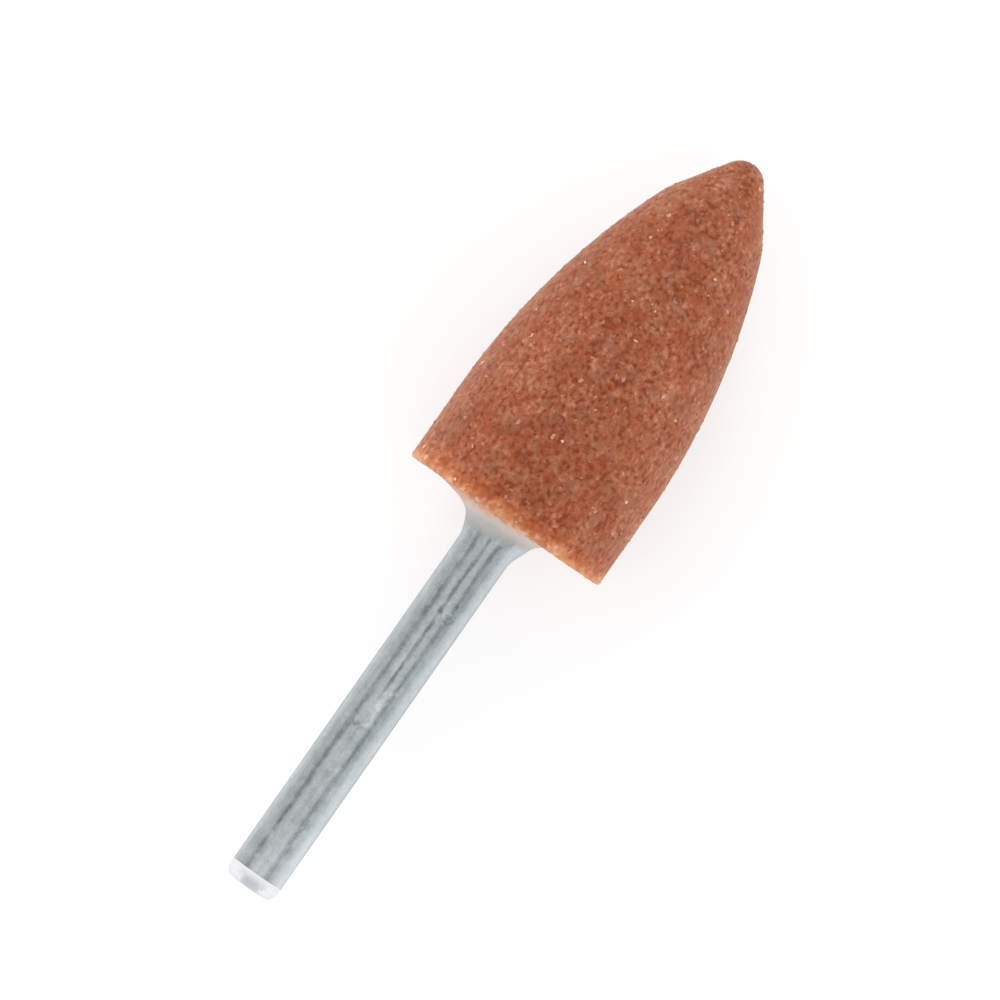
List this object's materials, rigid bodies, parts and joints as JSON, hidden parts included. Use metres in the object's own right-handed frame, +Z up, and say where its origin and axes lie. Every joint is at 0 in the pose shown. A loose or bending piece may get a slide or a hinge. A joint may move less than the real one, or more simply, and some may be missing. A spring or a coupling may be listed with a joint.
{
  "type": "mounted point",
  "caption": "Pointed-arch abrasive head with a blunt tip, cemented on a straight round steel shank with a rounded free end, for grinding by hand tool.",
  "frame": {"origin": "on the surface that the head lies on, under the middle of the tool's length", "axes": "+X along the tool's axis from the shank's free end to the tip of the head, +Z up; the tool's axis is 12.67 mm above the surface"},
  "size_m": [0.0978, 0.0254, 0.0253],
  "materials": {
    "abrasive_head": "matte",
    "shank": "satin",
    "cement": "satin"
  },
  "bodies": {
    "root": {"abrasive_head": "abrasive_head", "shank": "shank", "cement": "cement"}
  },
  "joints": []
}
